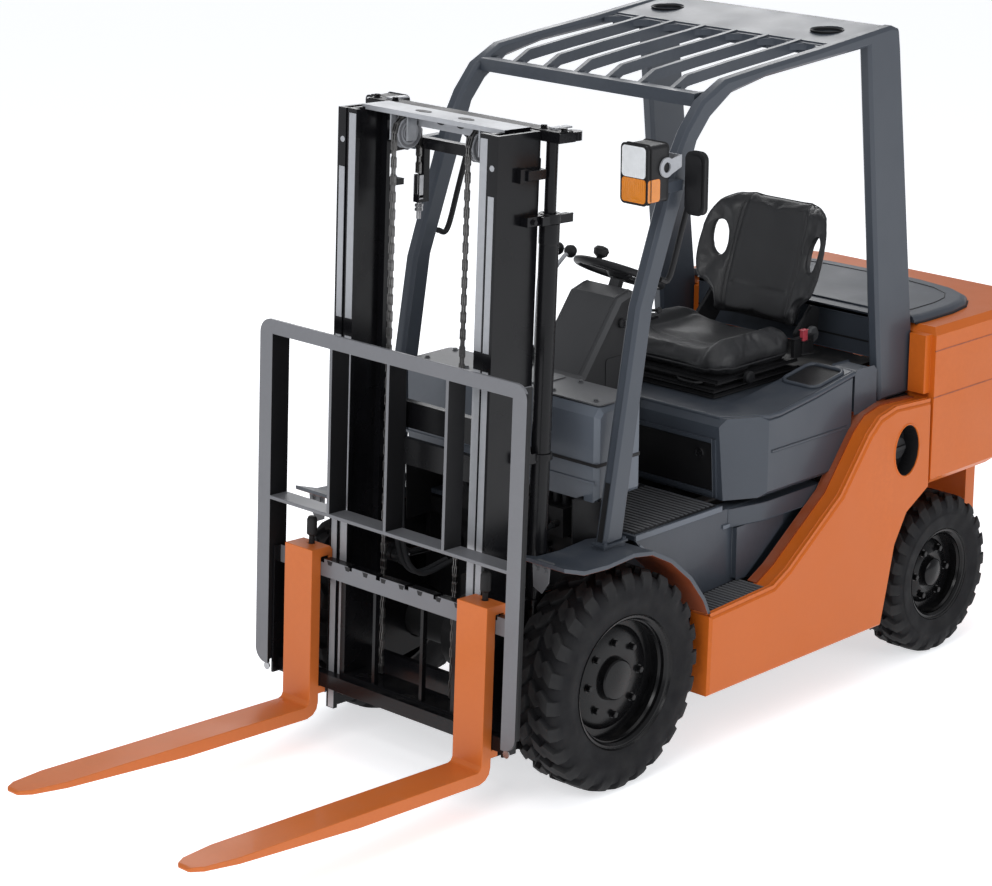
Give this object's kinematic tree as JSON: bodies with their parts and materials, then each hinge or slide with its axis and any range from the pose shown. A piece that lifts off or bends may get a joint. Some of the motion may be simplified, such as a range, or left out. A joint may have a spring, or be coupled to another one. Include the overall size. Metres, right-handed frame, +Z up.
{
  "type": "counterbalance forklift truck",
  "caption": "Counterbalance forklift truck with a tilting telescopic mast, load forks, overhead guard, seat and rear-wheel steering.",
  "frame": {"origin": "ground point midway between fork tips and the counterweight's rear, on the centre plane", "axes": "+Z up, front (forks) towards -Y, driver's left towards +X"},
  "size_m": [1.144, 3.6606, 2.132],
  "materials": {
    "orange_paint": "satin paint",
    "fork_paint": "satin paint",
    "grey_paint": "satin paint",
    "cowl_paint": "satin paint",
    "mast_paint": "gloss paint",
    "backrest_paint": "satin paint",
    "black_steel": "matt paint",
    "cast_metal": "rough",
    "chain_steel": "oiled",
    "bright_steel": "polished",
    "rim_paint": "satin paint",
    "tyre_rubber": "matt",
    "seat_vinyl": "grained",
    "black_plastic": "matt",
    "lamp_plastic": "gloss"
  },
  "bodies": {
    "chassis": {"chassis_frame": "black_steel", "drive_axle": "black_steel", "engine": "cast_metal", "radiator": "black_steel", "fuel_tank": "black_steel", "side_panel_left": "orange_paint", "side_panel_right": "orange_paint", "counterweight": "orange_paint", "radiator_cover": "grey_paint", "floor_plate": "black_steel", "front_cowl": "cowl_paint", "fender_left": "grey_paint", "fender_right": "grey_paint", "guard_side_left": "grey_paint", "guard_side_right": "grey_paint", "guard_roof": "grey_paint", "steering_column": "black_plastic"},
    "mast_outer": {"outer_mast": "mast_paint", "lift_cylinder_left": "mast_paint", "lift_cylinder_right": "mast_paint"},
    "mast_inner": {"inner_mast": "mast_paint", "chain_left": "chain_steel", "chain_right": "chain_steel"},
    "sheave_left": {"chain_sheave_left": "chain_steel"},
    "sheave_right": {"chain_sheave_right": "chain_steel"},
    "carriage": {"fork_carriage": "mast_paint", "load_backrest": "backrest_paint"},
    "fork_left": {"fork_left": "fork_paint"},
    "fork_right": {"fork_right": "fork_paint"},
    "fork_pin_left": {"fork_pin_left": "bright_steel"},
    "fork_pin_right": {"fork_pin_right": "bright_steel"},
    "tilt_barrel_left": {"tilt_cylinder_left": "mast_paint"},
    "tilt_barrel_right": {"tilt_cylinder_right": "mast_paint"},
    "tilt_rod_left": {"tilt_rod_left": "bright_steel"},
    "tilt_rod_right": {"tilt_rod_right": "bright_steel"},
    "front_wheel_left": {"front_rim_left": "rim_paint", "front_tyre_left": "tyre_rubber"},
    "front_wheel_right": {"front_rim_right": "rim_paint", "front_tyre_right": "tyre_rubber"},
    "steer_axle": {"steer_axle": "black_steel"},
    "knuckle_left": {"knuckle_left": "black_steel"},
    "knuckle_right": {"knuckle_right": "black_steel"},
    "rear_wheel_left": {"rear_rim_left": "rim_paint", "rear_tyre_left": "tyre_rubber"},
    "rear_wheel_right": {"rear_rim_right": "rim_paint", "rear_tyre_right": "tyre_rubber"},
    "steering_wheel": {"steering_wheel": "black_plastic"},
    "spinner_knob": {"spinner_knob": "black_plastic"},
    "lift_lever": {"lift_lever": "black_plastic"},
    "tilt_lever": {"tilt_lever": "black_plastic"},
    "direction_lever": {"direction_lever": "black_plastic"},
    "accelerator_pedal": {"accelerator_pedal": "black_plastic"},
    "brake_pedal": {"brake_pedal": "black_plastic"},
    "hood": {"engine_hood": "grey_paint"},
    "seat": {"seat_cushion": "seat_vinyl"},
    "seat_back": {"seat_backrest": "seat_vinyl"},
    "headlamp_left": {"headlamp_left": "lamp_plastic"},
    "headlamp_right": {"headlamp_right": "lamp_plastic"},
    "mirror": {"mirror": "black_plastic"},
    "fuel_cap": {"fuel_cap": "black_plastic"}
  },
  "joints": [
    {"name": "mast_tilt", "type": "hinge", "parent": "chassis", "child": "mast_outer", "pos_m": [0, -0.2927, 0.338], "axis": [1, 0, 0], "range_deg": [-8.6, 8.4]},
    {"name": "mast_lift", "type": "slide", "parent": "mast_outer", "child": "mast_inner", "axis": [0, 0.0419, 0.9991], "range_m": [-0.05, 1.42]},
    {"name": "carriage_lift", "type": "slide", "parent": "mast_inner", "child": "carriage", "axis": [0, 0.0419, 0.9991], "range_m": [-0.05, 1.42], "deforming": ["chain_left", "chain_right"]},
    {"name": "sheave_spin_left", "type": "hinge", "parent": "mast_inner", "child": "sheave_left", "pos_m": [0.15, -0.48738, 1.91081], "axis": [1, 0, 0], "continuous": true},
    {"name": "fork_spread_left", "type": "slide", "parent": "carriage", "child": "fork_left", "axis": [1, 0, 0], "range_m": [-0.24, 0.055]},
    {"name": "fork_pin_lift_left", "type": "slide", "parent": "fork_left", "child": "fork_pin_left", "axis": [0, 0.0419, 0.9991], "range_m": [0, 0.025]},
    {"name": "tilt_barrel_swing_left", "type": "hinge", "parent": "chassis", "child": "tilt_barrel_left", "pos_m": [0.275, 0.3953, 0.52], "axis": [1, 0, 0], "range_deg": [-4, 4]},
    {"name": "tilt_rod_stroke_left", "type": "slide", "parent": "tilt_barrel_left", "child": "tilt_rod_left", "axis": [0, -0.9985, 0.054], "range_m": [-0.05, 0.05]},
    {"name": "front_wheel_spin_left", "type": "hinge", "parent": "chassis", "child": "front_wheel_left", "pos_m": [0.475, -0.2927, 0.338], "axis": [1, 0, 0], "continuous": true},
    {"name": "sheave_spin_right", "type": "hinge", "parent": "mast_inner", "child": "sheave_right", "pos_m": [-0.15, -0.48738, 1.91081], "axis": [1, 0, 0], "continuous": true},
    {"name": "fork_spread_right", "type": "slide", "parent": "carriage", "child": "fork_right", "axis": [1, 0, 0], "range_m": [-0.055, 0.24]},
    {"name": "fork_pin_lift_right", "type": "slide", "parent": "fork_right", "child": "fork_pin_right", "axis": [0, 0.0419, 0.9991], "range_m": [0, 0.025]},
    {"name": "tilt_barrel_swing_right", "type": "hinge", "parent": "chassis", "child": "tilt_barrel_right", "pos_m": [-0.275, 0.3953, 0.52], "axis": [1, 0, 0], "range_deg": [-4, 4]},
    {"name": "tilt_rod_stroke_right", "type": "slide", "parent": "tilt_barrel_right", "child": "tilt_rod_right", "axis": [0, -0.9985, 0.054], "range_m": [-0.05, 0.05]},
    {"name": "front_wheel_spin_right", "type": "hinge", "parent": "chassis", "child": "front_wheel_right", "pos_m": [-0.475, -0.2927, 0.338], "axis": [1, 0, 0], "continuous": true},
    {"name": "axle_oscillation", "type": "hinge", "parent": "chassis", "child": "steer_axle", "pos_m": [0, 1.3073, 0.27], "axis": [0, 1, 0], "range_deg": [-3, 3]},
    {"name": "steer_left", "type": "hinge", "parent": "steer_axle", "child": "knuckle_left", "pos_m": [0.42, 1.3073, 0.27], "axis": [0, 0, 1], "range_deg": [-50, 50]},
    {"name": "rear_wheel_spin_left", "type": "hinge", "parent": "knuckle_left", "child": "rear_wheel_left", "pos_m": [0.471, 1.3073, 0.27], "axis": [1, 0, 0], "continuous": true},
    {"name": "steer_right", "type": "hinge", "parent": "steer_axle", "child": "knuckle_right", "pos_m": [-0.42, 1.3073, 0.27], "axis": [0, 0, 1], "range_deg": [-50, 50]},
    {"name": "rear_wheel_spin_right", "type": "hinge", "parent": "knuckle_right", "child": "rear_wheel_right", "pos_m": [-0.471, 1.3073, 0.27], "axis": [1, 0, 0], "continuous": true},
    {"name": "steering_wheel_turn", "type": "hinge", "parent": "chassis", "child": "steering_wheel", "pos_m": [0, 0.2853, 1.385], "axis": [0, 0.4226, 0.9063], "range_deg": [-720, 720]},
    {"name": "spinner_knob_turn", "type": "hinge", "parent": "steering_wheel", "child": "spinner_knob", "pos_m": [0, 0.18608, 1.43723], "axis": [0, 0.4226, 0.9063], "continuous": true},
    {"name": "lift_lever_stroke", "type": "hinge", "parent": "chassis", "child": "lift_lever", "pos_m": [-0.215, 0.1953, 1.089], "axis": [1, 0, 0], "range_deg": [-12, 12], "stiffness_Nm_per_rad": 6},
    {"name": "tilt_lever_stroke", "type": "hinge", "parent": "chassis", "child": "tilt_lever", "pos_m": [-0.27, 0.1953, 1.089], "axis": [1, 0, 0], "range_deg": [-12, 12], "stiffness_Nm_per_rad": 6},
    {"name": "direction_lever_stroke", "type": "hinge", "parent": "chassis", "child": "direction_lever", "pos_m": [0.11, 0.2453, 1.29], "axis": [0, 0.4226, 0.9063], "range_deg": [-12, 12]},
    {"name": "accelerator_press", "type": "hinge", "parent": "chassis", "child": "accelerator_pedal", "pos_m": [-0.16, 0.0733, 0.719], "axis": [1, 0, 0], "range_deg": [0, 20], "stiffness_Nm_per_rad": 3, "springref_deg": -17.19},
    {"name": "brake_press", "type": "hinge", "parent": "chassis", "child": "brake_pedal", "pos_m": [0.15, -0.0307, 1], "axis": [-1, 0, 0], "range_deg": [0, 15], "stiffness_Nm_per_rad": 12, "springref_deg": -17.19},
    {"name": "hood_open", "type": "hinge", "parent": "chassis", "child": "hood", "pos_m": [0, 0.9003, 1.02], "axis": [-1, 0, 0], "range_deg": [0, 14]},
    {"name": "seat_slide", "type": "slide", "parent": "hood", "child": "seat", "axis": [0, 1, 0], "range_m": [-0.08, 0.03]},
    {"name": "seat_recline", "type": "hinge", "parent": "seat", "child": "seat_back", "pos_m": [0, 0.9753, 1.1], "axis": [-1, 0, 0], "range_deg": [-10, 7]},
    {"name": "headlamp_aim_left", "type": "hinge", "parent": "chassis", "child": "headlamp_left", "pos_m": [0.516, -0.1287, 1.782], "axis": [1, 0, 0], "range_deg": [-15, 15]},
    {"name": "headlamp_aim_right", "type": "hinge", "parent": "chassis", "child": "headlamp_right", "pos_m": [-0.516, -0.1287, 1.782], "axis": [1, 0, 0], "range_deg": [-15, 15]},
    {"name": "mirror_aim", "type": "hinge", "parent": "chassis", "child": "mirror", "pos_m": [0.489, 0.0073, 1.785], "axis": [0, 0, 1], "range_deg": [-20, 20]},
    {"name": "fuel_cap_turn", "type": "hinge", "parent": "chassis", "child": "fuel_cap", "pos_m": [0.525, 1.0543, 0.762], "axis": [1, 0, 0], "range_deg": [-90, 0]}
  ],
  "couplings": [
    {"joint": "carriage_lift", "follows": "mast_lift", "ratio": 1},
    {"joint": "sheave_spin_left", "follows": "mast_lift", "rad_per_m": -20},
    {"joint": "tilt_barrel_swing_left", "follows": "mast_tilt", "ratio": 0.14843},
    {"joint": "tilt_rod_stroke_left", "follows": "mast_tilt", "m_per_rad": 0.21886},
    {"joint": "sheave_spin_right", "follows": "mast_lift", "rad_per_m": -20},
    {"joint": "tilt_barrel_swing_right", "follows": "mast_tilt", "ratio": 0.14843},
    {"joint": "tilt_rod_stroke_right", "follows": "mast_tilt", "m_per_rad": 0.21886},
    {"joint": "steer_right", "follows": "steer_left", "ratio": 1},
    {"joint": "steering_wheel_turn", "follows": "steer_left", "ratio": -14.4}
  ]
}
